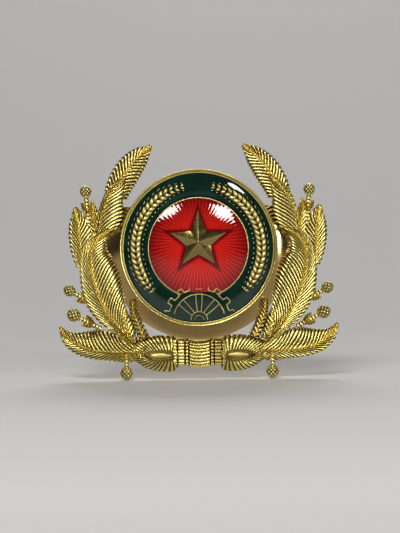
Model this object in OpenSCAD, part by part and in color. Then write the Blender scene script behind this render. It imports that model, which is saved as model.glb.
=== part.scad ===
// Enamelled cap badge: a round medallion screwed to a pine-branch wreath.
// The badge stands upright as it is worn. X is across, Z is up and the front faces -Y.
// The origin is the medallion's centre on the flat rear face that lies on the cap.

/* [Overall] */
// Width of the whole wreath, from leaf tip to leaf tip
wreath_w = 64.4; // [54:0.2:78]
// Diameter of the medallion
medal_d = 36; // [30:0.5:44]

/* [Wreath] */
// Thickness of the wreath's flat web plate
plate_t = 1; // [0.7:0.05:1.5]
// Width of polished web left showing around the medallion
web_w = 3.2; // [2.2:0.1:4]
// How far the plate's edge lies in from the edge of the leaves it carries
leaf_inset = 0.3; // [0.2:0.05:0.6]
// Height at which the web stops on each side of the medallion
web_top = 9.5; // [5:0.5:11]
// Relief of the long fronds above the web plate
frond_rise = 2.4; // [1.2:0.1:3.2]
// Relief of the leaves that lie lower in the wreath
leaf_rise = 1.7; // [1:0.1:2.4]
// Thickness of a leaf at its edge
leaf_edge = 0.45; // [0.3:0.05:0.8]
// Diameter of a pine-cone bead
berry_d = 3; // [2:0.1:3.6]
// Diameter of the wire stem under a bead
stem_d = 1.1; // [0.8:0.1:1.6]

/* [Binding] */
// Half the width of the ribbed binding
binding_half_w = 6; // [4.5:0.1:7.2]
// Height of the ribbed binding, up the badge
binding_h = 6.1; // [4:0.1:7.5]
// How far the binding stands out in front of the web plate
binding_rise = 2.8; // [2:0.1:3.6]
// Number of ribs across the binding
binding_ribs = 7; // [4:1:9]
// Height of the plate's tie bar, which runs under the bows to both base leaves
tie_h = 4; // [2:0.5:5]
// How far the bow loops stand out in front of the web plate
bow_rise = 2.2; // [1.2:0.1:3]

/* [Medallion] */
// Thickness of the medallion's struck metal, under the enamel
medal_t = 1.3; // [0.8:0.1:2]
// Height of the metal cell walls, which the enamel fills
wall_h = 0.8; // [0.4:0.05:1.2]
// Width of the medallion's outer rim
rim_w = 0.5; // [0.3:0.05:0.8]
// Radius of the red enamel
red_r = 11.3; // [8:0.1:12]
// Width of the metal line around the red enamel
line_w = 0.3; // [0.2:0.05:0.5]
// How far the red enamel domes above its wall
red_dome = 0.5; // [0.2:0.05:0.7]
// Radius of the star, from its centre to a point
star_r = 8.2; // [5:0.1:9]
// Height of the star's centre above its metal floor
star_h = 2.2; // [1.8:0.1:2.7]
// Height of the star's edge above its metal floor
star_edge = 1.1; // [0.6:0.05:1.35]
// Height of the star's centre above the medallion's centre
star_up = 1.4; // [0:0.1:2]
// Width of each wheat ear
ear_w = 2.5; // [1.6:0.1:3]
// Outer radius of the half cog wheel, over its teeth
cog_r = 8.2; // [6.8:0.1:9.8]
// Height of the cog wheel's centre above the inside of the medallion's lower rim
cog_up = 1; // [0.4:0.1:2]
// Number of teeth on the half cog wheel
cog_teeth = 8; // [5:1:10]
// Height of a cog tooth
tooth_h = 1.1; // [0.6:0.1:1.4]
// Width of a cog tooth
tooth_w = 1.4; // [0.8:0.1:1.7]
// Width of the cog wheel's ring
cog_ring_w = 1.2; // [0.7:0.1:1.6]
// Radius of the cog wheel's hub
hub_r = 1.9; // [1.2:0.1:2.4]

/* [Fixings] */
// Distance between the two screw posts
post_spacing = 22; // [14:0.5:24]
// Outer diameter of a screw post's thread
post_d = 3; // [2:0.1:4]
// Length of a screw post behind the wreath's rear face, without its lead end
post_l = 8.5; // [6:0.1:11]
// Diameter of the plain lead end of a screw post
lead_d = 2.3; // [1.5:0.1:2.7]
// Length of the plain lead end of a screw post
lead_l = 2; // [1:0.1:3]
// Radial gap between a post and its hole in the web plate
hole_gap = 0.15; // [0.1:0.05:0.3]
// Radial running gap between a post and its nut or washer
nut_gap = 0.05; // [0.03:0.01:0.08]
// Outer diameter of a washer
washer_d = 7; // [5.5:0.1:8]
// Thickness of a washer
washer_t = 0.5; // [0.3:0.05:0.8]
// Depth of the spot face that seats a washer in the web plate
seat_depth = 0.25; // [0.1:0.05:0.4]
// Outer diameter of a knurled nut
nut_d = 6.4; // [5.2:0.1:7.4]
// Thickness of a knurled nut
nut_t = 2.4; // [1.8:0.1:3]
// Number of knurls around a nut
nut_knurls = 20; // [12:1:24]

/* [Hidden] */

$fn = 64;
medal_r = medal_d / 2;
web_r = medal_r + web_w;
face_y = plate_t + medal_t;      // front of the medallion's metal floor, measured forwards
wall_y = face_y + wall_h;        // top of the cell walls, measured forwards
ear_r = (medal_r - rim_w + red_r + line_w) / 2;
cog_z = -medal_r + rim_w + cog_up;
gilt = "#c9a227";
green = "#0e3a2b";
red = "#b01018";

// The leaf points below were set out around a medallion of this radius, in a wreath
// whose band is this wide; lay() moves a point out or in to suit the present sizes.
layout_r = 18;
layout_band = 14.2;
band_k = (wreath_w / 2 - medal_r) / layout_band;
function lay(p) = p * ((medal_r + (norm(p) - layout_r) * band_k) / norm(p));

// A point, or a width, at fraction s along a smooth curve through the list
function along(list, s) =
    let (
        n = len(list) - 1,
        i = min(floor(s * n), n - 1),
        t = s * n - i,
        a = list[max(i - 1, 0)],
        b = list[i],
        c = list[i + 1],
        d = list[min(i + 2, n)]
    )
    b + (c - a) * t / 2 + (2 * a - 5 * b + 4 * c - d) * t * t / 2
    + (3 * b - a - 3 * c + d) * t * t * t / 2;

// Each leaf is [points along its rib from foot to tip, widths on the side nearer
// the medallion, widths on the outer side]. They are those of the right branch.
top_leaf = [
    [[19, 12.2], [17.6, 15.4], [15.4, 18.7], [13, 21.3], [10.4, 23.5]],
    [3, 3.4, 3.3, 2.4, 0.3],
    [2.6, 2.9, 2.9, 2.1, 0.3]
];
inner_leaf = [
    [[23, 3.8], [22.3, 6.9], [21.4, 9.8], [20.2, 12.4], [18.4, 14.7], [16.4, 16.4]],
    [3.2, 4.6, 4.7, 3.8, 2.2, 0.2],
    [0.6, 0.9, 1, 1, 0.8, 0.2]
];
small_leaf = [
    [[22.8, 6], [23.2, 8.6], [23.4, 11.4]],
    [1, 1.1, 0.2],
    [0.8, 1, 0.2]
];
shoulder_leaf = [
    [[26.4, -4], [26.9, -0.6], [27.2, 2.8], [27.5, 6.2], [28.1, 9.8]],
    [1.5, 2.6, 3.5, 2.7, 0.2],
    [1.6, 2.3, 2.5, 2, 0.2]
];
long_frond = [
    [[16.4, -20.4], [18.9, -17.8], [20.9, -14.6], [22.6, -11.2], [23.8, -7.4],
     [24.5, -3.4], [24.4, -0.2], [23, 2.3], [19.4, 4.4]],
    [1.2, 3.2, 4, 4.5, 4.5, 4.2, 3.9, 2.7, 0.2],
    [0.8, 1.8, 3.2, 3.7, 3.4, 2.6, 2, 1.3, 0.2]
];
twig = [
    [[12.1, -21.7], [13.7, -18], [15, -14.6], [15.3, -12]],
    [1.2, 1.2, 1.1, 0.7],
    [1.6, 1.9, 1.4, 0.6]
];
side_leaf = [
    [[15.6, -20.2], [16.7, -17], [16.9, -13.8]],
    [2.2, 2.6, 0.2],
    [1.4, 1.5, 0.2]
];
base_leaf = [
    [[13, -23.7], [17.8, -23.7], [21.5, -23.6], [25, -23.1], [27.9, -21.9], [30.3, -20.1], [32, -17.7]],
    [2.6, 3.6, 4.9, 4.8, 3.5, 1.6, 0.2],
    [2, 2.2, 2.2, 2.2, 2.2, 1.6, 0.2]
];
// Each pine-cone bead is [centre of the bead, foot of its stem]
cones = [
    [[25.6, 13.1], [25, 5]],
    [[29.6, -9.5], [25, -12.2]],
    [[28.7, -15.1], [22.4, -18.4]],
    [[16.8, -28.7], [16.7, -24]]
];

function turned(v) = [-v[1], v[0]];
function rib(leaf, s) = lay(along(leaf[0], s));
function side(leaf, s) =
    let (step = 0.01, d = rib(leaf, min(s + step, 1)) - rib(leaf, max(s - step, 0)))
    turned(d) / norm(d);
// A point across a leaf: u is 1 at the edge nearer the medallion and -1 at the outer edge
function across(leaf, s, u, shrink = 0) =
    let (w = max(along(leaf[u > 0 ? 1 : 2], s) * band_k - shrink, 0.1))
    rib(leaf, s) + side(leaf, s) * u * w;

// Flat outline of a leaf, drawn in by shrink
module leaf_outline(leaf, shrink, steps = 12) {
    polygon(concat(
        [for (i = [0:steps]) across(leaf, i / steps, -1, shrink)],
        [for (i = [steps:-1:0]) across(leaf, i / steps, 1, shrink)]
    ));
}

// Joins each cross-section to the next. Every section is one ring of points.
module skinned(sections) {
    ring = len(sections[0]);
    for (i = [0:len(sections) - 2]) hull() polyhedron(
        concat(sections[i], sections[i + 1]),
        [for (k = [1:ring - 2]) [0, k, k + 1], [0, 1, ring], [ring, ring + 1, ring + 2],
         for (k = [1:ring - 2]) [ring, ring + k, ring + k + 1]]
    );
}

// Domed leaf with a flat back at depth back
module leaf_solid(leaf, back, rise, steps = 18, spans = 8) {
    function crown(u) = leaf_edge + (rise - leaf_edge) * sqrt(1 - u * u * 0.98);
    function swell(s) = s < 0.45 ? 1 : 0.35 + 0.65 * sin(90 + 80 * (s - 0.45) / 0.55);
    function flat(p, y) = [p[0], -y, p[1]];
    skinned([for (i = [0:steps]) let (s = i / steps) concat(
        [for (j = [0:spans]) let (u = 2 * j / spans - 1)
            flat(across(leaf, s, u), back + crown(u) * swell(s))],
        [flat(across(leaf, s, 1), back), flat(across(leaf, s, -1), back)]
    )]);
}

// Draws a shape in the badge's own upright plane, with its back at depth back
module upright(back, thick) {
    translate([0, -back, 0]) rotate([90, 0, 0]) linear_extrude(thick) children();
}

// Builds a right-hand piece as it is, or mirrored to the left
module handed(side) {
    mirror([side < 0 ? 1 : 0, 0, 0]) children();
}

module post_holes(d) {
    for (s = [-1, 1]) translate([s * post_spacing / 2, 0]) circle(d = d);
}

tie_half_w = rib(base_leaf, 0.25)[0];

module wreath_plate() {
    color(gilt) difference() {
        upright(0, plate_t) difference() {
            union() {
                circle(medal_r - rim_w);
                difference() {
                    circle(web_r);
                    translate([-web_r - 1, web_top]) square([2 * web_r + 2, web_r]);
                }
                for (s = [0, 1]) mirror([s, 0]) {
                    for (leaf = [top_leaf, inner_leaf, shoulder_leaf, long_frond, base_leaf])
                        leaf_outline(leaf, leaf_inset);
                }
                translate([-binding_half_w, binding_z - binding_h / 2 + 0.4])
                    square([2 * binding_half_w, binding_h]);
                translate([-tie_half_w, binding_z - tie_h / 2]) square([2 * tie_half_w, tie_h]);
            }
            post_holes(post_d + 2 * hole_gap);
        }
        upright(-1, 1 + seat_depth) post_holes(washer_d + 1);
    }
}

module branch_solid() {
    leaf_solid(top_leaf, plate_t, leaf_rise);
    leaf_solid(small_leaf, plate_t, leaf_rise * 0.7, 8, 4);
    leaf_solid(shoulder_leaf, plate_t, leaf_rise);
    leaf_solid(inner_leaf, plate_t, (leaf_rise + frond_rise) / 2);
    leaf_solid(long_frond, plate_t, frond_rise, 30);
    leaf_solid(side_leaf, plate_t, leaf_rise, 10);
    leaf_solid(twig, plate_t, leaf_rise + 0.3, 12);
}

module branch(side) {
    color(gilt) handed(side) difference() {
        branch_solid();
        bow_solid();
    }
}

module base_leaf(side) {
    color(gilt) handed(side) difference() {
        leaf_solid(base_leaf, plate_t, leaf_rise + 0.2, 24);
        branch_solid();
        bow_solid();
    }
}

// A knobbly bead on a ringed wire stem
module cone_bead(bead, foot) {
    b = lay(bead);
    f = lay(foot);
    y = plate_t + leaf_rise * 0.55;
    rings = floor(norm(f - b) / (stem_d * 1.1)) - 1;
    translate([b[0], -y, b[1]]) sphere(d = berry_d, $fn = 18);
    hull() {
        translate([b[0], -y, b[1]]) sphere(d = stem_d * 0.8, $fn = 10);
        translate([f[0], -y, f[1]]) sphere(d = stem_d * 0.8, $fn = 10);
    }
    for (i = [0:rings]) let (p = b + (f - b) * (berry_d / 2 + i * stem_d) / norm(f - b))
        translate([p[0], -y, p[1]]) sphere(d = stem_d * 1.2, $fn = 10);
}

module cones(side) {
    color(gilt) handed(side) difference() {
        for (c = cones) cone_bead(c[0], c[1]);
        branch_solid();
        leaf_solid(base_leaf, plate_t, leaf_rise + 0.2, 24);
        upright(-1, plate_t + 1) square(4 * wreath_w, center = true);
    }
}

binding_z = lay([0, -24.15])[1];
bow_tip = lay([16.3, -23.25]);

// Half a bow: a looped ribbon end that comes out from under the binding
module bow_solid() {
    foot = binding_half_w - 1;
    reach = bow_tip[0] - foot;
    bow = [
        [[foot, 0.1], [foot + reach * 0.4, -0.1], [foot + reach * 0.74, 0.3], [bow_tip[0], 0.9]],
        [3.6, 3.9, 3, 0.3],
        [3.6, 4.1, 3, 0.3]
    ];
    translate([0, 0, binding_z]) difference() {
        ribbon(bow);
        translate([0, -plate_t - bow_rise, -0.4]) rotate([-90, 0, 0])
            linear_extrude(0.8) translate([foot + reach * 0.345, 0]) almond(3.3, 1.3);
    }
}

// A domed ribbon, whose points don't move with the wreath's size
module ribbon(shape, steps = 14, spans = 8) {
    function spot(s, u) = along(shape[0], s) + [0, 1] * u * along(shape[u > 0 ? 1 : 2], s);
    function crown(u) = 0.5 + (bow_rise - 0.5) * sqrt(1 - u * u * 0.98);
    skinned([for (i = [0:steps]) let (s = i / steps) concat(
        [for (j = [0:spans]) let (u = 2 * j / spans - 1, p = spot(s, u))
            [p[0], -plate_t - crown(u) * (1 - 0.4 * pow(s, 3)), p[1]]],
        [for (u = [1, -1]) let (p = spot(s, u)) [p[0], -plate_t, p[1]]]
    )]);
}

// Pointed oval, of half length a and half height b
module almond(a, b) {
    r = (a * a + b * b) / (2 * b);
    intersection() {
        translate([0, b - r]) circle(r, $fn = 96);
        translate([0, r - b]) circle(r, $fn = 96);
    }
}

module bow(side) {
    color(gilt) handed(side) difference() {
        bow_solid();
        binding_blank();
    }
}

module binding_blank() {
    translate([-binding_half_w, -plate_t - binding_rise, binding_z - binding_h / 2])
        cube([2 * binding_half_w, binding_rise, binding_h]);
}

module binding() {
    pitch = binding_h / binding_ribs;
    color(gilt) intersection() {
        binding_blank();
        union() {
            translate([-binding_half_w, -plate_t - binding_rise + pitch / 2, binding_z - binding_h / 2])
                cube([2 * binding_half_w, binding_rise - pitch / 2, binding_h]);
            for (i = [0:binding_ribs - 1])
                translate([-binding_half_w, -plate_t - binding_rise + pitch / 2,
                           binding_z - binding_h / 2 + (i + 0.5) * pitch])
                    rotate([0, 90, 0]) cylinder(d = pitch, h = 2 * binding_half_w);
        }
    }
}

// One wheat ear as a curved band: two rows of grains with a pointed end
module ear_outline() {
    steps = 24;
    from = 212;
    to = 106;
    function half_w(s) = ear_w / 2 * min(1, 0.25 + 5 * s, 0.15 + 3 * (1 - s));
    function at(s, r) = let (a = from + (to - from) * s) r * [cos(a), sin(a)];
    polygon(concat(
        [for (i = [0:steps]) at(i / steps, ear_r + half_w(i / steps))],
        [for (i = [steps:-1:0]) at(i / steps, ear_r - half_w(i / steps))]
    ));
}

// Half disc that the cog wheel fills, which the enamel leaves free
module cog_blank() {
    translate([0, cog_z]) intersection() {
        circle(cog_r - tooth_h);
        translate([-cog_r, 0]) square([2 * cog_r, cog_r]);
    }
}

// Half a cog wheel on the medallion's lower rim, with a hub and three spokes
module cog_outline() {
    root_r = cog_r - tooth_h;
    translate([0, cog_z]) intersection() {
        union() {
            difference() {
                circle(root_r);
                circle(root_r - cog_ring_w);
            }
            for (i = [0:cog_teeth - 1]) rotate((i + 0.5) * 180 / cog_teeth)
                translate([root_r - 0.3, -tooth_w / 2]) square([tooth_h + 0.3, tooth_w]);
            circle(hub_r);
            for (a = [45, 90, 135]) rotate(a) translate([0, -0.35]) square([root_r - 0.3, 0.7]);
        }
        translate([-cog_r - 1, 0]) square([2 * cog_r + 2, cog_r + 1]);
    }
}

module star_outline() {
    waist = star_r * sin(18) / sin(54);
    polygon([for (i = [0:9])
        let (a = 90 + 36 * i, r = i % 2 == 0 ? star_r : waist) r * [cos(a), sin(a)]]);
}

// Five-pointed star whose ten facets rise to its centre
module star_solid() {
    translate([0, -face_y, star_up]) rotate([90, 0, 0]) {
        linear_extrude(star_edge) star_outline();
        translate([0, 0, star_edge]) linear_extrude(star_h - star_edge, scale = 0.02) star_outline();
    }
}

module medallion() {
    color(gilt) {
        upright(plate_t, medal_t) circle(medal_r, $fn = 128);
        upright(face_y, wall_h) {
            difference() {
                circle(medal_r, $fn = 128);
                circle(medal_r - rim_w, $fn = 128);
            }
            difference() {
                circle(red_r + line_w, $fn = 128);
                circle(red_r, $fn = 128);
            }
            ear_outline();
            mirror([1, 0]) ear_outline();
            cog_outline();
        }
        star_solid();
    }
}

module green_enamel() {
    color(green) upright(face_y, wall_h * 0.9) difference() {
        circle(medal_r - rim_w, $fn = 128);
        circle(red_r + line_w, $fn = 128);
        ear_outline();
        mirror([1, 0]) ear_outline();
        cog_outline();
    }
}

module red_enamel() {
    dome_r = (red_r * red_r + red_dome * red_dome) / (2 * red_dome);
    color(red) difference() {
        translate([0, -face_y, 0]) rotate([90, 0, 0]) rotate_extrude($fn = 128) intersection() {
            translate([0, wall_h + red_dome - dome_r]) circle(dome_r, $fn = 250);
            square([red_r, wall_h + 2 * red_dome]);
        }
        star_solid();
        upright(face_y, wall_h + star_h) cog_blank();
        upright(face_y, wall_h + star_h) cog_outline();
    }
}

// Screw post soldered to the back of the medallion, with a plain lead end
module post(side) {
    color(gilt) translate([side * post_spacing / 2, -plate_t, 0]) rotate([-90, 0, 0]) {
        cylinder(d = post_d, h = plate_t + post_l);
        cylinder(d = lead_d, h = plate_t + post_l + lead_l);
    }
}

module washer(side) {
    color("#b9922b") translate([side * post_spacing / 2, -seat_depth, 0]) rotate([-90, 0, 0])
        difference() {
            cylinder(d = washer_d, h = washer_t);
            translate([0, 0, -1]) cylinder(d = post_d + 2 * nut_gap, h = washer_t + 2);
        }
}

module nut(side) {
    color("#b9922b") translate([side * post_spacing / 2, washer_t - seat_depth, 0]) rotate([-90, 0, 0])
        difference() {
            cylinder(d = nut_d, h = nut_t);
            translate([0, 0, -1]) cylinder(d = post_d + 2 * nut_gap, h = nut_t + 2);
            for (i = [0:nut_knurls - 1]) rotate(i * 360 / nut_knurls)
                translate([nut_d / 2 + 0.15, 0, -1]) cylinder(r = 0.35, h = nut_t + 2);
        }
}

wreath_plate();
branch(-1);  // left_branch
branch(1);  // right_branch
base_leaf(-1);  // left_base_leaf
base_leaf(1);  // right_base_leaf
cones(-1);  // left_cones
cones(1);  // right_cones
bow(-1);  // left_bow
bow(1);  // right_bow
binding();
medallion();
green_enamel();
red_enamel();
post(-1);  // left_post
post(1);  // right_post
washer(-1);  // left_washer
washer(1);  // right_washer
nut(-1);  // left_nut
nut(1);  // right_nut
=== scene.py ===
import math

import bmesh
import bpy
from mathutils import Matrix, Vector


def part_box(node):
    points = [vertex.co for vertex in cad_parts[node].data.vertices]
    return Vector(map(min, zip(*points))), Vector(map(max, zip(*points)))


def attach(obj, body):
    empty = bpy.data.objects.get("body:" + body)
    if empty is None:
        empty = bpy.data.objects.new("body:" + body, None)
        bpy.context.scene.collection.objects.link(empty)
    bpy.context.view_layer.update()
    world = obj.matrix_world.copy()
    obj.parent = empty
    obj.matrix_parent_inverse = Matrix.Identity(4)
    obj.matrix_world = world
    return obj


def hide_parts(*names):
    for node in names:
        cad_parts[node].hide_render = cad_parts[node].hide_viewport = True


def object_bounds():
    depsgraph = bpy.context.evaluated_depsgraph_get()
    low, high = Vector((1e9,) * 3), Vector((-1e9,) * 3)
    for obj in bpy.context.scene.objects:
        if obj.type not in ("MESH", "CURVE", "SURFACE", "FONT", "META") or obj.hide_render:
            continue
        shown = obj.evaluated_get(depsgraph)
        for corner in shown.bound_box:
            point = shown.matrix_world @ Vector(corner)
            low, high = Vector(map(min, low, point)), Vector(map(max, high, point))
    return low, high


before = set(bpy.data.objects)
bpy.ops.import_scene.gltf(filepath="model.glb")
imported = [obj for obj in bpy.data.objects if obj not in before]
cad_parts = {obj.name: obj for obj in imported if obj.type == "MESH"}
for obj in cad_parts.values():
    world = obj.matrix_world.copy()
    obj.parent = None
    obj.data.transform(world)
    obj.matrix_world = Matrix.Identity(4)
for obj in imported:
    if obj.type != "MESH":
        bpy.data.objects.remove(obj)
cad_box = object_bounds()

MM = 0.001

# ---------------------------------------------------------------------------------------------
# Studio: a pale sweep of paper for the badge to stand over, greyer in front where the glass
# would mirror it, five soft lights and a camera almost square on. None of it is the badge's.
# ---------------------------------------------------------------------------------------------
FLOOR_Z = cad_box[0].z - 0.0001
SWEEP_HALF_W = 1.6
SWEEP_FRONT, SWEEP_BACK, SWEEP_TOP = -1.3, 1.4, 1.7
SWEEP_BEND = 1.25
PAPER, PAPER_IN_FRONT = (0.68, 0.67, 0.65, 1), (0.09, 0.09, 0.09, 1)
GREY_FROM, GREY_TO = -0.14, -0.42
AIM = Vector((0.0004, 0, -0.0044))
BEARING, HEIGHT, ROLL = math.radians(-1.5), math.radians(2), math.radians(-0.7)
DISTANCE = 0.3415


class Value:
    """A shader socket that can stand in a sum."""

    def __init__(self, finish, socket):
        self.finish, self.socket = finish, socket

    def maths(self, operation, other, swap=False):
        pair = (other, self) if swap else (self, other)
        return self.finish.node("ShaderNodeMath", {"operation": operation}, {0: pair[0], 1: pair[1]})

    def __add__(self, other):
        return self.maths("ADD", other)

    def __sub__(self, other):
        return self.maths("SUBTRACT", other)

    def __rsub__(self, other):
        return self.maths("SUBTRACT", other, True)

    def __mul__(self, other):
        return self.maths("MULTIPLY", other)


class Finish:
    """One material: a Principled shader, its nodes and the sockets they feed."""

    def __init__(self, name, **fixed):
        self.material = bpy.data.materials.new(name)
        self.material.use_nodes = True
        self.nodes = self.material.node_tree.nodes
        self.links = self.material.node_tree.links
        self.shader = self.nodes["Principled BSDF"]
        for socket, value in fixed.items():
            self.shader.inputs[socket.replace("_", " ")].default_value = value

    def node(self, kind, settings=None, inputs=None, out=0):
        made = self.nodes.new(kind)
        for key, value in (settings or {}).items():
            setattr(made, key, value)
        for key, value in (inputs or {}).items():
            self.feed(made.inputs[key], value)
        return Value(self, made.outputs[out])

    def feed(self, socket, value):
        if isinstance(value, Value):
            self.links.new(value.socket, socket)
        else:
            socket.default_value = value

    def set(self, **sockets):
        for name, value in sockets.items():
            self.feed(self.shader.inputs[name.replace("_", " ")], value)

    def place(self):
        return self.node("ShaderNodeTexCoord", out="Object")

    def grain(self, scale, detail=4.0):
        """Noise from 0 to 1, with the number of lumps given to the metre."""
        return self.node(
            "ShaderNodeTexNoise", None,
            {"Vector": self.place(), "Scale": scale, "Detail": detail, "Roughness": 0.55},
        )

    def span(self, value, low, high, to_low=0.0, to_high=1.0):
        return self.node(
            "ShaderNodeMapRange", {"clamp": True},
            {"Value": value, "From Min": low, "From Max": high, "To Min": to_low, "To Max": to_high},
        )

    def mix(self, factor, first, second):
        return self.node(
            "ShaderNodeMix", {"data_type": "RGBA"}, {0: factor, 6: first, 7: second}, out=2
        )

    def bump(self, height, distance, strength=1.0):
        return self.node(
            "ShaderNodeBump", None, {"Height": height, "Distance": distance, "Strength": strength}
        )


def sweep_paper():
    bm = bmesh.new()
    profile = [(SWEEP_FRONT, FLOOR_Z), (SWEEP_BACK - SWEEP_BEND, FLOOR_Z)]
    for step in range(1, 13):
        turn = math.radians(90 * step / 12)
        profile.append((
            SWEEP_BACK - SWEEP_BEND + SWEEP_BEND * math.sin(turn),
            FLOOR_Z + SWEEP_BEND * (1 - math.cos(turn)),
        ))
    profile.append((SWEEP_BACK, SWEEP_TOP))
    line = [bm.verts.new((-SWEEP_HALF_W, y, z)) for y, z in profile]
    edges = [bm.edges.new(pair) for pair in zip(line, line[1:])]
    side = bmesh.ops.extrude_edge_only(bm, edges=edges)["geom"]
    moved = [v for v in side if isinstance(v, bmesh.types.BMVert)]
    bmesh.ops.translate(bm, verts=moved, vec=(2 * SWEEP_HALF_W, 0, 0))
    bmesh.ops.recalc_face_normals(bm, faces=bm.faces)
    for face in bm.faces:
        face.smooth = True
    mesh = bpy.data.meshes.new("paper_sweep")
    bm.to_mesh(mesh)
    bm.free()
    sweep = bpy.data.objects.new("paper_sweep", mesh)
    bpy.context.scene.collection.objects.link(sweep)
    paper = Finish("paper", Roughness=0.9)
    depth = paper.node("ShaderNodeSeparateXYZ", None, {"Vector": paper.place()}, out="Y")
    paper.set(Base_Color=paper.mix(paper.span(depth, GREY_TO, GREY_FROM), PAPER_IN_FRONT, PAPER))
    mesh.materials.append(paper.material)


def soft_light(name, place, size, power):
    light = bpy.data.lights.new(name, "AREA")
    light.shape = "RECTANGLE"
    light.size, light.size_y = size
    light.energy = power
    lamp = bpy.data.objects.new(name, light)
    lamp.location = place
    lamp.rotation_euler = (-Vector(place)).to_track_quat("-Z", "Y").to_euler()
    bpy.context.scene.collection.objects.link(lamp)


def studio_camera():
    data = bpy.data.cameras.new("camera")
    data.lens, data.sensor_width = 100, 36
    camera = bpy.data.objects.new("camera", data)
    away = Vector((
        math.sin(BEARING) * math.cos(HEIGHT), -math.cos(BEARING) * math.cos(HEIGHT), math.sin(HEIGHT)
    ))
    camera.location = AIM + away * DISTANCE
    roll = Matrix.Rotation(ROLL, 4, "Z")
    camera.rotation_euler = ((-away).to_track_quat("-Z", "Y").to_matrix().to_4x4() @ roll).to_euler()
    bpy.context.scene.collection.objects.link(camera)
    bpy.context.scene.camera = camera


sweep_paper()
studio_camera()
soft_light("key_box", (-0.15, -0.48, 0.45), (0.3, 0.16), 2)
soft_light("side_box", (0.44, -0.46, 0.05), (0.08, 0.3), 1.6)
soft_light("left_front_box", (-0.1, -0.55, 0.112), (0.1, 0.045), 0.4)
soft_light("right_front_box", (0.095, -0.55, 0.1), (0.07, 0.06), 0.4)
soft_light("paper_light", (0.1, 0.95, 1.1), (1.4, 0.6), 9)
world = bpy.data.worlds.new("studio")
world.use_nodes = True
world.node_tree.nodes["Background"].inputs["Color"].default_value = (0.9, 0.92, 0.95, 1)
world.node_tree.nodes["Background"].inputs["Strength"].default_value = 0.06
bpy.context.scene.world = world
bpy.context.scene.view_settings.view_transform = "Standard"

# ---------------------------------------------------------------------------------------------
# Web plate: one flat gilt brass stamping that carries everything else. Its back is left satin
# and slightly pebbled. Leaves and the tie bar were sheared to a smooth edge.
# ---------------------------------------------------------------------------------------------
PLATE_FRONT = -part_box("wreath_plate")[0].y / MM

plate_gilt = Finish("gilt_plate", Metallic=1.0)
pebble = plate_gilt.grain(2600.0, 3.0)
stain = plate_gilt.grain(160.0)
plate_gilt.set(
    Base_Color=plate_gilt.mix(stain, (0.62, 0.42, 0.12, 1), (0.86, 0.66, 0.24, 1)),
    Roughness=plate_gilt.span(stain, 0.3, 0.7, 0.24, 0.38),
    Normal=plate_gilt.bump(pebble, 0.00003, 0.6),
)
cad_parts["wreath_plate"].material_slots[0].material = plate_gilt.material

# ---------------------------------------------------------------------------------------------
# Branches: each side of the wreath is a struck spray of pine leaves. A leaf has a rope-like
# rib and rounded needles that sweep to a toothed edge. Gilt brass, brazed to the flat plate.
# ---------------------------------------------------------------------------------------------
LEAF_EDGE = 0.45
NEEDLE_GROOVE = 0.42
ROPE_W, ROPE_RISE = 0.3, 0.28
STEPS_PER_NEEDLE = 8
ROWS_ACROSS = 24

gilt = Finish("gilt_relief", Metallic=1.0)
crest = gilt.node("ShaderNodeAttribute", {"attribute_name": "relief"}, out="Fac")
cloud = gilt.grain(420.0)
speck = gilt.grain(5200.0, 3.0)
# Painted shade: where the relief layer is low, in grooves and hollows where shade falls, the gilt is
# painted dark brown; the crests are painted gold.
shade = gilt.span(crest + (cloud - 0.5) * 0.3, 0.1, 0.85)
gold = gilt.mix(cloud, (0.77, 0.61, 0.18, 1), (0.9, 0.78, 0.3, 1))
gilt.set(
    Base_Color=gilt.mix(shade, (0.05, 0.02, 0.004, 1), gold),
    Roughness=gilt.span(speck, 0.3, 0.7, 0.2, 0.32) + (1 - shade) * 0.25,
    Normal=gilt.bump(speck, 0.00002, 0.5),
)


def along(points, s):
    """A place, or a width, at fraction s along a smooth curve through the points."""
    last = len(points) - 1
    i = min(int(s * last), last - 1)
    t = s * last - i
    a, b = points[max(i - 1, 0)], points[i]
    c, d = points[i + 1], points[min(i + 2, last)]
    return b + (c - a) * (t / 2) + (a * 2 - b * 5 + c * 4 - d) * (t * t / 2) + (
        b * 3 - a - c * 3 + d) * (t ** 3 / 2)


def bell(distance, width):
    return math.exp(-((distance / width) ** 2))


def new_mesh():
    """An empty bmesh, in millimetres, and its layer for how high a point stands in its relief, which sets
    how light it is painted: painted shade in grooves and hollows, light on crests (in the red glass the
    layer holds painted glow instead).
    """
    bm = bmesh.new()
    return bm, bm.verts.layers.float.new("relief")


def skin(bm, steps, rows):
    """A flat grid's points, with x and y from -0.5 to 0.5."""
    return bmesh.ops.create_grid(bm, x_segments=steps, y_segments=rows, size=0.5)["verts"]


def close_back(bm, depth):
    """Draws the open edge of a front skin back to a flat plane and closes it there."""
    rim = [e for e in bm.edges if e.is_boundary]
    wall = bmesh.ops.extrude_edge_only(bm, edges=rim)["geom"]
    for v in wall:
        if isinstance(v, bmesh.types.BMVert):
            v.co.y = -depth
    loop = [e for e in wall if isinstance(e, bmesh.types.BMEdge) and e.is_boundary]
    bmesh.ops.triangle_fill(bm, edges=loop, use_beauty=True)


def finished(bm, name, finish, nodes=(), body="badge", sharp=35):
    """Turns millimetres into metres, and the mesh into a piece that rides on its body."""
    bmesh.ops.recalc_face_normals(bm, faces=bm.faces)
    bmesh.ops.scale(bm, vec=(MM, MM, MM), verts=bm.verts)
    for face in bm.faces:
        face.smooth = True
    mesh = bpy.data.meshes.new(name)
    bm.to_mesh(mesh)
    bm.free()
    mesh.set_sharp_from_angle(angle=math.radians(sharp))
    piece = bpy.data.objects.new(name, mesh)
    bpy.context.scene.collection.objects.link(piece)
    mesh.materials.append(finish.material)
    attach(piece, body)
    if nodes:
        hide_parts(*nodes)


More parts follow.
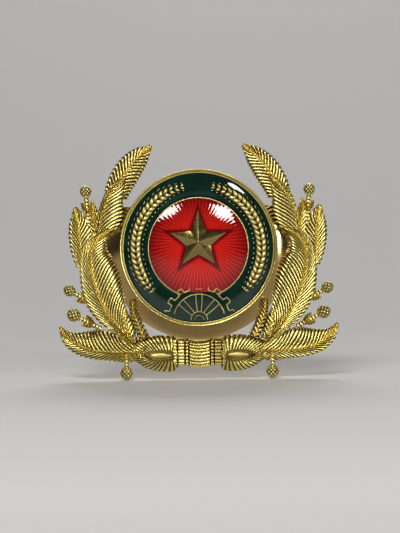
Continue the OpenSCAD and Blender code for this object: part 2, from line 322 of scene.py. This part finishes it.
def leaf(name, side, spine, inner, outer, needles, lift, rise, slant=0.2, nodes=()):
    """One domed leaf, side -1 on the left. Widths and lifts in millimetres, from foot to tip."""
    spine = [Vector(p) for p in spine]
    bm, relief = new_mesh()
    for v in skin(bm, needles * STEPS_PER_NEEDLE, ROWS_ACROSS):
        a, u = (v.co.x + 0.5) * (1 + slant) - slant, abs(2 * v.co.y) ** 1.3
        widths = inner if v.co.y > 0 else outer
        s = max(0, min(a + min(slant, (1 - a) * 0.9) * u ** 0.75, 1))
        heading = (along(spine, min(s + 0.01, 1)) - along(spine, max(s - 0.01, 0))).normalized()
        across = Vector((-heading.y, heading.x)) * math.copysign(1, v.co.y)
        t = 2 * ((v.co.x + 0.5) * needles % 1) - 1
        ridge = (1 - t * t) ** 0.8
        half = max(along(widths, s), 0.12)
        p = along(spine, s) + across * u * half * (1 - 0.2 * (1 - ridge) * u)
        swell = 1 if s < 0.45 else 0.35 + 0.65 * math.sin(math.radians(90 + 80 * (s - 0.45) / 0.55))
        dome = math.sqrt(1 - 0.98 * u ** 2.2)
        rope = bell(u * half, ROPE_W) * (0.75 + 0.25 * math.cos(4 * math.pi * t))
        near = min(1, u * half / 0.5)
        height = along(lift, s) + LEAF_EDGE + (rise - LEAF_EDGE) * dome * swell
        height += NEEDLE_GROOVE * (ridge - 1) * (0.25 + 0.75 * near) + ROPE_RISE * rope * swell
        v.co = (side * p.x, -PLATE_FRONT - max(height, 0.05), p.y)
        v[relief] = max(ridge ** 1.6 * (0.6 + 0.4 * dome), rope)
    bmesh.ops.remove_doubles(bm, verts=bm.verts, dist=1e-3)
    close_back(bm, PLATE_FRONT)
    finished(bm, name, gilt, nodes)


for side, hand in ((-1, "left"), (1, "right")):
    branch = (f"{hand}_branch",)
    leaf(f"{hand}_top_leaf", side,
         [(19, 12.2), (17.6, 15.4), (15.4, 18.7), (13, 21.3), (10.4, 23.5)],
         [3, 3.4, 3.3, 2.4, 0.3], [2.6, 2.9, 2.9, 2.1, 0.3],
         19, [0, 0, 0.1, 0.3, 0.4], 1.5, nodes=branch)
    leaf(f"{hand}_small_leaf", side,
         [(22.9, 1.4), (23.5, 5), (24, 8.2), (24.1, 11.2)], [1.3, 1.6, 1.3, 0.2], [1.3, 1.9, 1.4, 0.2],
         12, [0, 0.1, 0.2, 0.3], 1.3, slant=0.3, nodes=branch)
    leaf(f"{hand}_shoulder_leaf", side,
         [(26.4, -4), (26.9, -0.6), (27.2, 2.8), (27.5, 6.2), (28.1, 9.8)],
         [1.5, 2.6, 3.5, 2.7, 0.2], [1.6, 2.3, 2.5, 2, 0.2],
         17, [0, 0, 0.1, 0.2, 0.2], 1.7, slant=0.3, nodes=branch)
    leaf(f"{hand}_inner_leaf", side,
         [(23, 3.8), (22.3, 6.9), (21.4, 9.8), (20.2, 12.4), (18.4, 14.7), (16.4, 16.4)],
         [3.2, 4.6, 4.7, 3.8, 2.2, 0.2], [0.6, 0.9, 1, 1, 0.8, 0.2],
         18, [0.3, 0.7, 1.1, 1.5, 1.8, 1.9], 1.9, slant=0.4, nodes=branch)
    leaf(f"{hand}_long_frond", side,
         [(15.2, -21.9), (18.5, -18.1), (20.9, -14.6), (22.6, -11.2), (23.8, -7.4),
          (24.6, -3.4), (24.4, 0), (22.6, 2.9), (19.3, 4.6)],
         [1.5, 3.2, 4.6, 5.3, 5.4, 4.9, 3.9, 2.3, 0.2], [1.4, 1.9, 3.2, 3.7, 3.4, 2.6, 2, 1.3, 0.2],
         36, [0, 0.4, 0.5, 0.6, 0.7, 0.8, 1, 1.2, 1.3], 2, slant=0.2, nodes=branch)
    leaf(f"{hand}_side_leaf", side,
         [(15.6, -20.2), (16.7, -17), (16.9, -13.8)], [1.2, 1.4, 0.2], [1.4, 1.5, 0.2],
         8, [0.6, 0.7, 0.7], 1.5, nodes=branch)
    leaf(f"{hand}_twig", side,
         [(12.5, -20.6), (13.9, -17.6), (15, -14.6), (15.3, -12)],
         [1.2, 1.2, 1.1, 0.7], [1.4, 1.3, 1, 0.6],
         11, [0.4, 0.4, 0.5, 0.5], 1.7, slant=0.08, nodes=branch)
    leaf(f"{hand}_base_leaf_relief", side,
         [(14.6, -23.8), (18.2, -23.8), (21.5, -23.6), (25, -23.1), (27.9, -21.9), (30.3, -20.1),
          (32, -17.7)],
         [2.6, 3.6, 4.9, 4.8, 3.5, 1.6, 0.2], [2, 2.2, 2.2, 2.2, 2.2, 1.6, 0.2],
         24, [0.1, 0.1, 0.1, 0.2, 0.2, 0.2, 0.3], 1.8, nodes=(f"{hand}_base_leaf",))

# ---------------------------------------------------------------------------------------------
# Pine cones: small knobbly balls on ringed wire stems that stick out of the wreath, four a
# side. Cast gilt brass, in one with their stems.
# ---------------------------------------------------------------------------------------------
CONES = (
    ((25.6, 13.1), (25, 5), 1.38),
    ((29.6, -9.5), (25, -12.2), 1.4),
    ((28.7, -15.1), (22.4, -18.4), 1.6),
    ((16.8, -28.7), (16.7, -24), 1.5),
)
CONE_DEPTH = 1.93
STEM_R = 0.46
RING_PITCH, RING_RISE = 0.8, 0.16
CALYX_L, CALYX_GAP, CALYX_LEAN = 2.6, 3.3, 0.55


def turned(bm, profile, steps, matrix):
    """Spins (radius, height) points about the Z axis, then moves them; gives the new points."""
    before = set(bm.verts)
    line = [bm.verts.new((r, 0, h)) for r, h in profile]
    edges = [bm.edges.new(pair) for pair in zip(line, line[1:])]
    bmesh.ops.spin(bm, geom=line + edges, cent=(0, 0, 0), axis=(0, 0, 1),
                   angle=math.tau, steps=steps, use_merge=True)
    bmesh.ops.remove_doubles(bm, verts=[v for v in bm.verts if v not in before], dist=1e-4)
    made = [v for v in bm.verts if v not in before]
    bmesh.ops.transform(bm, matrix=matrix, verts=made)
    return made


def cone_bead(bm, relief, bead, foot, radius):
    """A knobbly ball, and the ringed stem from its middle to its foot."""
    place = Vector((bead[0], -CONE_DEPTH, bead[1]))
    stem = Vector((foot[0], -CONE_DEPTH, foot[1])) - place
    stand = Matrix.Translation(place) @ stem.to_track_quat("Z", "Y").to_matrix().to_4x4()
    ball = bmesh.ops.create_uvsphere(bm, u_segments=60, v_segments=36, radius=1)["verts"]
    for v in ball:
        turn, down = math.atan2(v.co.y, v.co.x), math.acos(max(-1, min(1, v.co.z)))
        knob = abs(math.cos(4 * turn + 4 * down) * math.cos(4 * turn - 4 * down)) ** 0.7
        knob = 1 - (1 - knob) * math.sin(down)
        v.co *= radius * (0.8 + 0.2 * knob)
        v[relief] = knob ** 1.5
    bmesh.ops.transform(bm, matrix=stand, verts=ball)
    rings = 6 * round(stem.length / RING_PITCH)
    profile = [(0, 0)]
    for i in range(rings + 1):
        profile.append((STEM_R + RING_RISE * abs(math.sin(math.pi * i / 6)), stem.length * i / rings))
    profile.append((0, stem.length))
    for v in turned(bm, profile, 20, stand):
        out = (v.co - place - stem * ((v.co - place).dot(stem) / stem.length_squared)).length
        v[relief] = 0.15 + 0.85 * min(1, max(0, (out - STEM_R) / RING_RISE))


for side, hand in ((-1, "left"), (1, "right")):
    bm, relief = new_mesh()
    for bead, foot, radius in CONES:
        cone_bead(bm, relief, (side * bead[0], bead[1]), (side * foot[0], foot[1]), radius)
    finished(bm, f"{hand}_cones_relief", gilt, (f"{hand}_cones",), sharp=60)
    for number, (bead, foot, radius) in enumerate(CONES):
        way = (Vector(bead) - Vector(foot)).normalized()
        base = Vector(bead) - way * (radius + CALYX_GAP)
        for lean in (-1, 1):
            out = (way + Vector((-way.y, way.x)) * lean * CALYX_LEAN).normalized()
            leaf(f"{hand}_calyx_{number}_{'low' if lean < 0 else 'high'}", side,
                 [base, base + out * CALYX_L / 2, base + out * CALYX_L], [0.6, 0.7, 0.15], [0.6, 0.7, 0.15],
                 6, [0.7, 0.6, 0.4], 1, nodes=(f"{hand}_cones",))

# ---------------------------------------------------------------------------------------------
# Bow: on each side of the binding a ribbon is looped round a smooth almond-shaped eye. Fine
# pleats fan out from the eye inside a twisted cord, boldest below it. Struck gilt brass.
# ---------------------------------------------------------------------------------------------
BOW_RISE = 2.2
EYE = Vector((8.9, -24.7))
EYE_HALF_L, EYE_HALF_H = 2.9, 0.72
EYE_SHARE = 0.35
BOW_EDGE = [Vector(p) for p in (
    (16.3, -23.4), (14.7, -21.4), (12, -20.4), (8.8, -20.1), (5.4, -20.7), (4.6, -24.4),
    (5.4, -28), (8.8, -28.4), (12.2, -27.6), (15, -25.6), (16.3, -23.4))]
PLEATS = 32

for side, hand in ((-1, "left"), (1, "right")):
    bm, relief = new_mesh()
    for v in skin(bm, PLEATS * 8, 34):
        a, w = v.co.x + 0.5, (1 + EYE_SHARE) * (v.co.y + 0.5) - EYE_SHARE
        turn = math.tau * a
        eye = EYE + Vector((EYE_HALF_L * math.cos(turn), EYE_HALF_H * math.sin(turn)))
        u = max(0, w)
        t = 2 * ((a + 0.035 * u * math.sin(turn)) * PLEATS % 1) - 1
        ridge = (1 - t * t) ** 0.8
        if w < 0:
            inside = 1 + w / EYE_SHARE
            p = EYE + (eye - EYE) * inside
            height = BOW_RISE - 0.55 + 0.35 * math.sqrt(max(0, 1 - inside ** 2))
            # Painted shade: the eye is painted half dark, and dark round its edge.
            v[relief] = 0.5 if inside < 0.86 else 0
        else:
            p = eye + (along(BOW_EDGE, a) - eye) * u
            fall = max(0, u - 0.25) / 0.75
            crown = math.sqrt(1 - 0.96 * fall ** 2) - 3 * max(0, 0.25 - u) ** 2
            cord = bell(u - 0.13, 0.09) * (1 if turn > math.pi else 0.5)
            twist = 0.5 + 0.5 * math.cos(PLEATS * 2 * turn)
            height = 0.45 + (BOW_RISE - 0.45) * crown
            height += 0.4 * (ridge - 1) * min(1, u / 0.15) * (1 - cord) + cord * (0.05 + 0.22 * twist)
            v[relief] = max(ridge ** 1.5 * (0.5 + 0.5 * crown) * (1 - cord), cord * twist)
        v.co = (side * p.x, -PLATE_FRONT - height, p.y)
    bmesh.ops.remove_doubles(bm, verts=bm.verts, dist=1e-4)
    close_back(bm, PLATE_FRONT)
    finished(bm, f"{hand}_bow_relief", gilt, (f"{hand}_bow",))

# ---------------------------------------------------------------------------------------------
# Binding: a cord wound round the foot of the two branches, struck as sagging ribs between
# columns of beads. Gilt brass, over the join of the two bows.
# ---------------------------------------------------------------------------------------------
BINDING_HALF_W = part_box("binding")[1].x / MM
BINDING_LOW, BINDING_HIGH = (corner.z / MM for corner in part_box("binding"))
BINDING_RISE = -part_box("binding")[0].y / MM - PLATE_FRONT
BINDING_RIBS = 8
COLUMN_EDGES = (2.45, 3.35, 5.1)
SAG, SAG_HALF_W = 0.45, 2.9

bm, relief = new_mesh()
for v in skin(bm, 150, BINDING_RIBS * 12):
    x, up = 2 * BINDING_HALF_W * v.co.x, v.co.y
    t = 2 * ((up + 0.5) * BINDING_RIBS % 1) - 1
    ridge = math.sqrt(max(0, 1 - t * t))
    reach = abs(x)
    beads = COLUMN_EDGES[0] < reach < COLUMN_EDGES[1] or reach > COLUMN_EDGES[2]
    seam = max(bell(reach - edge, 0.13) for edge in COLUMN_EDGES)
    barrel = 1 - 0.25 * (x / BINDING_HALF_W) ** 2 - 0.5 * abs(2 * up) ** 6
    height = (BINDING_RISE - 0.5) * barrel + 0.5 * ridge - 0.45 * seam - 0.12 * beads * (1 - ridge)
    sag = SAG * math.cos(math.pi * min(1, reach / SAG_HALF_W) / 2) if reach < COLUMN_EDGES[0] else -0.1
    z = (BINDING_LOW + BINDING_HIGH) / 2 + up * (BINDING_HIGH - BINDING_LOW) - sag
    v.co = (x, -PLATE_FRONT - max(height, 0.3), z)
    v[relief] = (0.05 + 0.95 * ridge) * (1 - 0.85 * seam)
close_back(bm, PLATE_FRONT)
finished(bm, "binding_relief", gilt, ("binding",))

# ---------------------------------------------------------------------------------------------
# Web dish: the plate is dished and polished round the medallion's lower three quarters, so it
# shows as a smooth bright band between the medallion's rim and the leaves.
# ---------------------------------------------------------------------------------------------
MEDAL_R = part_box("medallion")[1].x / MM
DISH_IN, DISH_OUT = MEDAL_R - 0.3, MEDAL_R + 3.2
DISH_TOP = 9.5

# Painted shade: the polished gilt is painted a darker brown than the rest of the gilt, standing in for the
# dark surroundings it would mirror.
polished = Finish("gilt_polished", Metallic=1.0)
smear = polished.grain(150.0)
polished.set(
    Base_Color=polished.mix(smear, (0.3, 0.19, 0.07, 1), (0.5, 0.37, 0.15, 1)),
    Roughness=polished.span(smear, 0.3, 0.7, 0.07, 0.16),
    Normal=polished.bump(polished.grain(900.0, 2.0), 0.00001, 0.4),
)
bm, _ = new_mesh()
for v in skin(bm, 180, 12):
    out = v.co.y + 0.5
    r = DISH_IN + (DISH_OUT - DISH_IN) * out
    half_turn = math.pi / 2 + math.asin(DISH_TOP / r)
    turn = 2 * half_turn * v.co.x - math.pi / 2
    v.co = (r * math.cos(turn), -PLATE_FRONT - 0.1 - 0.85 * (1 - out) ** 2, r * math.sin(turn))
close_back(bm, PLATE_FRONT - 0.2)
finished(bm, "web_dish", polished)

# ---------------------------------------------------------------------------------------------
# Medallion: a struck disc with a double-beaded rim, a thin wall round the red enamel, two
# ears of wheat, half a cog wheel and a star. Gilt, and duller on the star, which is glazed.
# ---------------------------------------------------------------------------------------------
UPRIGHT = Matrix.Rotation(math.pi / 2, 4, "X")
FLOOR_DEPTH = -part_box("green_enamel")[1].y / MM
WALL_DEPTH = FLOOR_DEPTH + 0.8
RED_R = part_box("red_enamel")[1].x / MM
RIM_W, LINE_W = 0.95, 0.28
STAR_UP, STAR_R = 1.4, 8.2
STAR_APEX = -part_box("medallion")[0].y / MM
NOTCH_R = STAR_R * math.sin(math.radians(18)) / math.sin(math.radians(54))
EAR_R, EAR_FROM, EAR_TO = 14.4, 222, 104
SEEDS, SEED_RISE, SEED_SINK = 24, 0.36, 0.08
COG_Z, COG_ROOT_R, COG_RING_W, COG_TEETH, TOOTH_H, TOOTH_W = -16.5, 7.1, 1.2, 8, 1.1, 1.4
HUB_R = 1.9

glazed_gilt = Finish("glazed_gilt", Metallic=1.0, Coat_Weight=0.6, Coat_Roughness=0.04)
tint = glazed_gilt.grain(900.0)
glazed_gilt.set(
    Base_Color=glazed_gilt.mix(tint, (0.22, 0.16, 0.045, 1), (0.33, 0.25, 0.08, 1)),
    Roughness=glazed_gilt.span(tint, 0.3, 0.7, 0.13, 0.2),
    Normal=glazed_gilt.bump(glazed_gilt.grain(4000.0, 2.0), 0.000004, 0.4),
)

bm, relief = new_mesh()
turned(bm, [
    (0, PLATE_FRONT), (MEDAL_R - 0.15, PLATE_FRONT), (MEDAL_R, PLATE_FRONT + 0.15),
    (MEDAL_R, WALL_DEPTH - 0.3), (MEDAL_R - 0.05, WALL_DEPTH - 0.12), (MEDAL_R - 0.17, WALL_DEPTH),
    (MEDAL_R - 0.3, WALL_DEPTH - 0.02), (MEDAL_R - 0.4, WALL_DEPTH - 0.16),
    (MEDAL_R - 0.5, WALL_DEPTH - 0.2), (MEDAL_R - 0.6, WALL_DEPTH - 0.1),
    (MEDAL_R - 0.72, WALL_DEPTH), (MEDAL_R - 0.86, WALL_DEPTH - 0.04),
    (MEDAL_R - 0.93, WALL_DEPTH - 0.2), (MEDAL_R - RIM_W, FLOOR_DEPTH),
    (RED_R + LINE_W + 0.02, FLOOR_DEPTH), (RED_R + LINE_W, WALL_DEPTH - 0.08),
    (RED_R + LINE_W * 0.75, WALL_DEPTH + 0.02), (RED_R + LINE_W * 0.25, WALL_DEPTH + 0.02),
    (RED_R, WALL_DEPTH - 0.08), (RED_R - 0.02, FLOOR_DEPTH), (0, FLOOR_DEPTH)], 200, UPRIGHT)
for v in bm.verts:
    # Painted shade: the groove between the rim's beads is painted darker.
    groove = bell(math.hypot(v.co.x, v.co.z) - MEDAL_R + 0.5, 0.12)
    v[relief] = 0.85 - 0.7 * groove
finished(bm, "medallion_disc", gilt, ("medallion",), sharp=50)


def seed(bm, place, heading, length, width, high):
    """A teardrop of low relief that points along its heading."""
    made = bmesh.ops.create_uvsphere(bm, u_segments=8, v_segments=6, radius=1)["verts"]
    for v in made:
        pinch = 1 - 0.6 * max(0, v.co.z)
        v.co = (v.co.x * width * pinch, v.co.y * high * pinch, v.co.z * length)
    ahead = Vector((heading.x, 0, heading.y)).normalized()
    side = ahead.cross(Vector((0, 1, 0)))
    turn = Matrix((side, (0, 1, 0), ahead)).transposed().to_4x4()
    bmesh.ops.transform(bm, matrix=Matrix.Translation(place) @ turn, verts=made)
    return made


bm, relief = new_mesh()
for side in (-1, 1):
    for i in range(SEEDS):
        s = i / (SEEDS - 1)
        angle = math.radians(EAR_FROM + (EAR_TO - EAR_FROM) * s)
        out = Vector((-side * math.cos(angle), math.sin(angle)))
        on = Vector((-side * math.sin(angle), -math.cos(angle)))
        small = min(1, 0.5 + 4 * s, 0.55 + 2.5 * (1 - s))
        for row in (-1, 1):
            spot = out * (EAR_R + 0.62 * row * small)
            tip = on * 0.86 + out * row * 0.5
            middle = Vector((spot.x, SEED_SINK - WALL_DEPTH, spot.y))
            for v in seed(bm, middle, tip, 1.05 * small, 0.58 * small, SEED_RISE):
                v[relief] = 0.08 + 0.72 * max(0, (middle.y - v.co.y) / SEED_RISE) ** 1.5
            spot = out * (EAR_R + (1.6 if row > 0 else -1.65) * small)
            if row > 0:
                middle = Vector((spot.x, 0.06 - WALL_DEPTH, spot.y))
                beard = seed(bm, middle, on + out * 0.25, 0.5 * small, 0.09, 0.1)
            else:
                middle = Vector((spot.x, 0.04 - WALL_DEPTH, spot.y))
                beard = seed(bm, middle, on, 0.2, 0.14, 0.14)
            for v in beard:
                v[relief] = 0.95 if row < 0 else 0.6
finished(bm, "wheat_ears", gilt, ("medallion",), sharp=80)

bm, _ = new_mesh()
peak = bm.verts.new((0, -STAR_APEX, STAR_UP))
points, feet = [], []
for i in range(10):
    angle = math.radians(90 + 36 * i)
    r, depth = (STAR_R, WALL_DEPTH + 0.1) if i % 2 == 0 else (NOTCH_R, WALL_DEPTH + 0.4)
    points.append(bm.verts.new((r * math.cos(angle), -depth, STAR_UP + r * math.sin(angle))))
    feet.append(bm.verts.new((r * math.cos(angle), -FLOOR_DEPTH, STAR_UP + r * math.sin(angle))))
for i in range(10):
    j = (i + 1) % 10
    bm.faces.new((peak, points[i], points[j]))
    bm.faces.new((points[i], feet[i], feet[j], points[j]))
bm.faces.new(feet)
bmesh.ops.bevel(bm, geom=list(peak.link_edges), offset=0.09, segments=2, profile=0.5,
                affect="EDGES", material=-1)
finished(bm, "star", glazed_gilt, ("medallion",), sharp=12)


def wall(bm, relief, points, half, top):
    """A thin rounded wall along a line of points on the medallion's floor."""
    points = [Vector(p) for p in points]
    rows = 4
    count = len(points) - 1
    for v in skin(bm, count, rows):
        i = round((v.co.x + 0.5) * count)
        before, after = points[max(i - 1, 0)], points[min(i + 1, count)]
        heading = (after - before).normalized()
        u = 2 * v.co.y
        p = points[i] + Vector((-heading.y, heading.x)) * u * half
        v.co = (p.x, -(top - 0.12 * u * u), p.y)
        v[relief] = 0.55
    close_back(bm, FLOOR_DEPTH)


def arc(radius, start, end, steps):
    """Points along an arc round the cog wheel's centre, from one angle to another in degrees."""
    angles = [math.radians(start + (end - start) * i / steps) for i in range(steps + 1)]
    return [(radius * math.cos(a), COG_Z + radius * math.sin(a)) for a in angles]


bm, relief = new_mesh()
COG_TOP = WALL_DEPTH + 0.2
outline = []
for i in range(COG_TEETH):
    middle = (i + 0.5) * 180 / COG_TEETH
    half = math.degrees(TOOTH_W / 2 / COG_ROOT_R)
    pitch = 180 / COG_TEETH / 2
    outline += arc(COG_ROOT_R, middle - pitch, middle - half, 4)
    outline += arc(COG_ROOT_R + TOOTH_H, middle - half * 0.8, middle + half * 0.8, 3)
    outline += arc(COG_ROOT_R, middle + half, middle + pitch - 0.5, 4)
outline = [p for p in outline if math.hypot(*p) < MEDAL_R - RIM_W + 0.05]
wall(bm, relief, outline, 0.16, COG_TOP)
wall(bm, relief, arc(COG_ROOT_R - COG_RING_W, 14, 166, 40), 0.15, COG_TOP)
wall(bm, relief, arc(HUB_R, 0, 180, 24), 0.14, COG_TOP)
wall(bm, relief, arc(HUB_R * 0.55, 0, 180, 16), 0.12, COG_TOP)
for spoke in (45, 90, 135):
    for lean in (-1, 1):
        line = []
        for k in range(7):
            reach = HUB_R + (COG_ROOT_R - COG_RING_W - HUB_R) * k / 6
            line += arc(reach, spoke + lean * (12 - 5 * k / 6), 0, 1)[:1]
        wall(bm, relief, line, 0.14, COG_TOP)
finished(bm, "cog_wheel", gilt, ("medallion",), sharp=50)

# ---------------------------------------------------------------------------------------------
# Green enamel: dark bottle-green glass fired into the medallion's outer ring and into the cog
# wheel. Its face is fire-polished and draws up a little at the metal walls.
# ---------------------------------------------------------------------------------------------
GREEN_FACE = -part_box("green_enamel")[0].y / MM

green_glass = Finish("green_enamel", Roughness=0.6, Specular_IOR_Level=0.0,
                     Coat_Weight=1.0, Coat_Roughness=0.015, Coat_IOR=1.5)
depth_cloud = green_glass.grain(260.0)
green_glass.set(Base_Color=green_glass.mix(
    green_glass.span(depth_cloud, 0.35, 0.7), (0.0015, 0.01, 0.007, 1), (0.004, 0.027, 0.017, 1)))
bm, _ = new_mesh()
for v in skin(bm, 220, 22):
    r = RED_R + LINE_W + (MEDAL_R - RIM_W + 0.01 - RED_R - LINE_W) * (v.co.y + 0.5)
    turn = math.tau * v.co.x
    pillow = 0.13 * (1 - (2 * v.co.y) ** 2) - 0.02 + 0.05 * abs(2 * v.co.y) ** 12
    v.co = (r * math.cos(turn), -GREEN_FACE - pillow + 0.06, r * math.sin(turn))
bmesh.ops.remove_doubles(bm, verts=bm.verts, dist=1e-4)
close_back(bm, FLOOR_DEPTH)
for v in skin(bm, 48, 14):
    turn = math.pi * (v.co.x + 0.5)
    lift = -COG_Z * math.sin(turn)
    reach = lift + math.sqrt(lift ** 2 + (MEDAL_R - RIM_W) ** 2 - COG_Z ** 2)
    r = min(COG_ROOT_R, reach) * (v.co.y + 0.5)
    face = -WALL_DEPTH - 0.13 + 0.05 * (v.co.y + 0.5) ** 8
    v.co = (r * math.cos(turn), face, COG_Z + r * math.sin(turn))
bmesh.ops.remove_doubles(bm, verts=bm.verts, dist=1e-4)
close_back(bm, FLOOR_DEPTH)
finished(bm, "green_glass", green_glass, ("green_enamel",))

# ---------------------------------------------------------------------------------------------
# Red enamel: clear red glass domed over a floor struck with rays that fan out from the star.
# Its colour is painted light: a painted glow between the star's arms, darker towards its wall
# and round the star, with painted bright streaks along the rays.
# ---------------------------------------------------------------------------------------------
RAYS = 72
RED_DOME = -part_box("red_enamel")[0].y / MM - WALL_DEPTH

red_glass = Finish("red_enamel", Specular_IOR_Level=0.0,
                   Coat_Weight=1.0, Coat_Roughness=0.012, Coat_IOR=1.45)
# Painted light: the relief layer holds a painted glow that runs the red from dark to bright, and the ray
# layer adds painted bright orange streaks along the rays.
glow = red_glass.node("ShaderNodeAttribute", {"attribute_name": "relief"}, out="Fac")
ray = red_glass.node("ShaderNodeAttribute", {"attribute_name": "ray"}, out="Fac")
painted_glow_red = red_glass.mix(glow, (0.07, 0.0005, 0.003, 1), (0.52, 0.004, 0.003, 1))
red_glass.set(
    Base_Color=red_glass.mix(ray * glow * 0.7, painted_glow_red, (0.85, 0.05, 0.02, 1)),
    Roughness=red_glass.span(red_glass.grain(1800.0), 0.3, 0.7, 0.25, 0.4),
)
bm, relief = new_mesh()
ray_layer = bm.verts.layers.float.new("ray")
for v in skin(bm, RAYS * 8, 60):
    turn = math.tau * (v.co.x + 0.5)
    lift = STAR_UP * math.sin(turn)
    reach = -lift + math.sqrt(lift ** 2 + RED_R ** 2 - STAR_UP ** 2)
    out = reach * (v.co.y + 0.5)
    x, z = out * math.cos(turn), STAR_UP + out * math.sin(turn)
    share = min(1, math.hypot(x, z) / RED_R)
    sector = abs((math.degrees(turn) - 90 + 36) % 72 - 36)
    star_edge = STAR_R * NOTCH_R * math.sin(math.radians(36)) / (
        STAR_R * math.sin(math.radians(sector)) + NOTCH_R * math.sin(math.radians(36 - sector)))
    beam = bell((v.co.x + 0.5) * RAYS % 1 - 0.5, 0.2) * min(1, out / 3)
    height = WALL_DEPTH - 0.03 + RED_DOME * (1 - share ** 3) + 0.004 * beam * share
    # Painted glow, kept in the relief layer: lighter in the middle, darker towards the wall and round the
    # star.
    darker_round_star = bell(max(0, out - star_edge), 0.7)
    v.co = (x, -height, z)
    v[relief] = (1 - 0.88 * share ** 2) * (1 - 0.9 * darker_round_star)
    v[ray_layer] = beam
bmesh.ops.remove_doubles(bm, verts=bm.verts, dist=1e-4)
close_back(bm, FLOOR_DEPTH)
finished(bm, "red_glass", red_glass, ("red_enamel",))

# ---------------------------------------------------------------------------------------------
# Fixings: two brass screw posts soldered to the back of the medallion come through the plate.
# Each carries a flat washer and a knurled thumb nut that clamps the wreath to the cap.
# ---------------------------------------------------------------------------------------------
THREAD_PITCH, THREAD_DEPTH = 0.5, 0.16
THREAD_END, LEAD_R = 8.5, 1.15
TAPER, LEAD_CHAMFER = 0.25, 0.25
BORE_GAP = 0.05
KNURLS, KNURL_DEPTH = 20, 0.075

brass = Finish("brass_fixings", Metallic=1.0)
rub = brass.grain(700.0)
brass.set(
    Base_Color=brass.mix(rub, (0.55, 0.36, 0.12, 1), (0.78, 0.58, 0.24, 1)),
    Roughness=brass.span(rub, 0.3, 0.7, 0.2, 0.36),
    Normal=brass.bump(brass.grain(5000.0, 2.0), 0.00001, 0.5),
)
BACKWARDS = Matrix.Rotation(-math.pi / 2, 4, "X")


def ring_profile(inner, outer, low, high, round_off):
    """A closed square section with its corners cut, for a washer or a nut."""
    return [(inner, low + round_off), (inner + round_off, low), (outer - round_off, low),
            (outer - round_off * 0.3, low + round_off * 0.3), (outer, low + round_off),
            (outer, (low + high) / 2), (outer, high - round_off),
            (outer - round_off * 0.3, high - round_off * 0.3), (outer - round_off, high),
            (inner + round_off, high), (inner, high - round_off), (inner, low + round_off)]


for hand in ("left", "right"):
    low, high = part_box(f"{hand}_post")
    middle = (low.x + high.x) / 2 / MM
    post_r = (high.x - low.x) / 2 / MM
    end = high.y / MM
    bm, _ = new_mesh()
    for v in skin(bm, 32, 200):
        turn, along_post = math.tau * v.co.x, (v.co.y + 0.5)
        y = -PLATE_FRONT - 0.2 + (end + PLATE_FRONT + 0.2) * along_post
        thread = abs((y / THREAD_PITCH - v.co.x) % 1 * 2 - 1) * THREAD_DEPTH
        r = post_r - thread if 0.4 < y < THREAD_END - 0.2 else post_r - 0.02
        if y > THREAD_END - TAPER:
            r = max(LEAD_R, post_r - 0.1 - (y - THREAD_END + TAPER) * 2.2)
        if y > end - LEAD_CHAMFER:
            r = LEAD_R - (y - end + LEAD_CHAMFER) * 0.9
        r *= 0 < along_post < 1
        v.co = (middle + r * math.cos(turn), y, r * math.sin(turn))
    bmesh.ops.remove_doubles(bm, verts=bm.verts, dist=1e-4)
    finished(bm, f"{hand}_screw_post", brass, (f"{hand}_post",))

    low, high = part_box(f"{hand}_washer")
    bm, _ = new_mesh()
    outer = (high.x - low.x) / 2 / MM
    place = Matrix.Translation((middle, 0, 0)) @ BACKWARDS
    turned(bm, ring_profile(post_r + BORE_GAP, outer, low.y / MM, high.y / MM, 0.12), 64, place)
    finished(bm, f"{hand}_flat_washer", brass, (f"{hand}_washer",),
             f"{hand}_washer_ring")

    low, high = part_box(f"{hand}_nut")
    bm, _ = new_mesh()
    outer = (high.x - low.x) / 2 / MM
    made = turned(bm, ring_profile(post_r + BORE_GAP, outer, low.y / MM, high.y / MM, 0.3),
                  KNURLS * 8, BACKWARDS)
    for v in made:
        r = math.hypot(v.co.x, v.co.z)
        if r > outer - 0.35:
            knurl = 1 - KNURL_DEPTH * (0.5 + 0.5 * math.cos(KNURLS * math.atan2(v.co.z, v.co.x)))
            v.co.x *= knurl
            v.co.z *= knurl
    bmesh.ops.translate(bm, vec=(middle, 0, 0), verts=bm.verts)
    finished(bm, f"{hand}_thumb_nut", brass, (f"{hand}_nut",),
             f"{hand}_nut_thumb")
